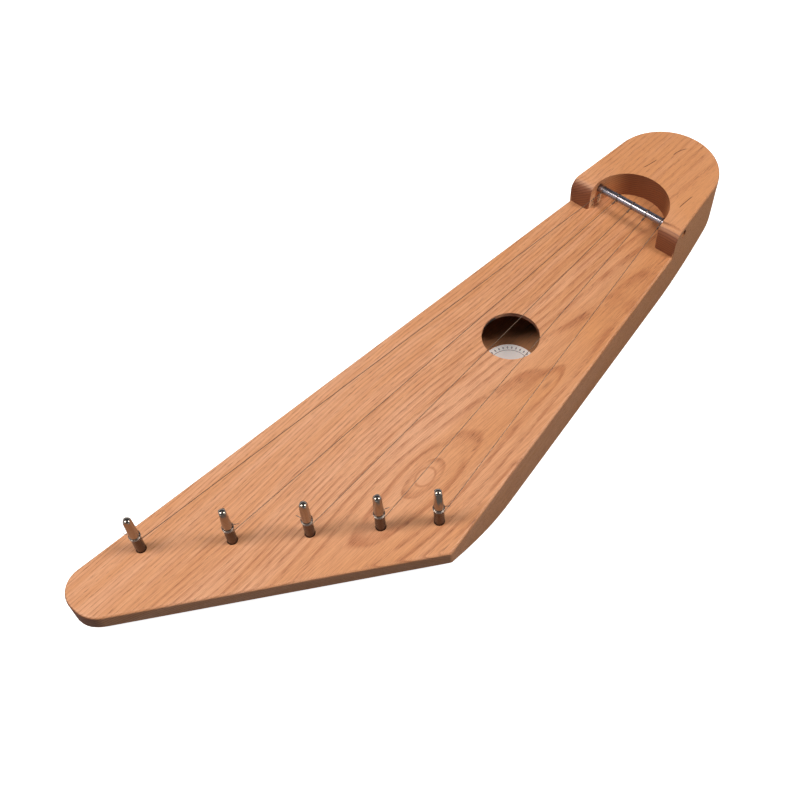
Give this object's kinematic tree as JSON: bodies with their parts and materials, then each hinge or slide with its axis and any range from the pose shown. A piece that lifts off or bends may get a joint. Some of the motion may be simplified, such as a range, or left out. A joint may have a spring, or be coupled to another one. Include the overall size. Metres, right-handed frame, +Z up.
{
  "type": "box zither",
  "caption": "Lap box zither: tapering carved wooden body with a round sound hole, notched head with a steel string bar, and a slanted row of tuning pins holding the strings.",
  "frame": {"origin": "middle of the body's box in plan, on the plane of its flat underside", "axes": "+X along the body towards the head and its string bar, +Y towards the long side with the longest string, +Z up out of the soundboard"},
  "size_m": [0.5812, 0.1786, 0.0815],
  "materials": {
    "oiled_alder": "oiled, satin",
    "back_board_alder": "sanded, unoiled inside",
    "label_paper": "matt paper",
    "polished_steel": "polished",
    "nickel_plate": "nickel plated, bright",
    "music_wire": "plain drawn steel",
    "coiled_wire": "plain drawn steel"
  },
  "bodies": {
    "zither_body": {"body": "oiled_alder", "back_board": "back_board_alder", "paper_label": "label_paper", "string_bar": "polished_steel", "string_1": "music_wire", "string_2": "music_wire", "string_3": "music_wire", "string_4": "music_wire", "string_5": "music_wire"},
    "pin_1": {"tuning_pin_1": "nickel_plate", "string_winding_1": "coiled_wire"},
    "pin_2": {"tuning_pin_2": "nickel_plate", "string_winding_2": "coiled_wire"},
    "pin_3": {"tuning_pin_3": "nickel_plate", "string_winding_3": "coiled_wire"},
    "pin_4": {"tuning_pin_4": "nickel_plate", "string_winding_4": "coiled_wire"},
    "pin_5": {"tuning_pin_5": "nickel_plate", "string_winding_5": "coiled_wire"}
  },
  "joints": [
    {"name": "tuning_pin_1_turn", "type": "hinge", "parent": "zither_body", "child": "pin_1", "pos_m": [-0.23338, 0.06821, 0.042], "axis": [0, 0, -1], "range_deg": [-540, 60]},
    {"name": "tuning_pin_2_turn", "type": "hinge", "parent": "zither_body", "child": "pin_2", "pos_m": [-0.19018, 0.02657, 0.042], "axis": [0, 0, -1], "range_deg": [-540, 60]},
    {"name": "tuning_pin_3_turn", "type": "hinge", "parent": "zither_body", "child": "pin_3", "pos_m": [-0.15347, -0.00883, 0.042], "axis": [0, 0, -1], "range_deg": [-540, 60]},
    {"name": "tuning_pin_4_turn", "type": "hinge", "parent": "zither_body", "child": "pin_4", "pos_m": [-0.11992, -0.04117, 0.042], "axis": [0, 0, -1], "range_deg": [-540, 60]},
    {"name": "tuning_pin_5_turn", "type": "hinge", "parent": "zither_body", "child": "pin_5", "pos_m": [-0.0922, -0.06789, 0.042], "axis": [0, 0, -1], "range_deg": [-540, 60]}
  ]
}
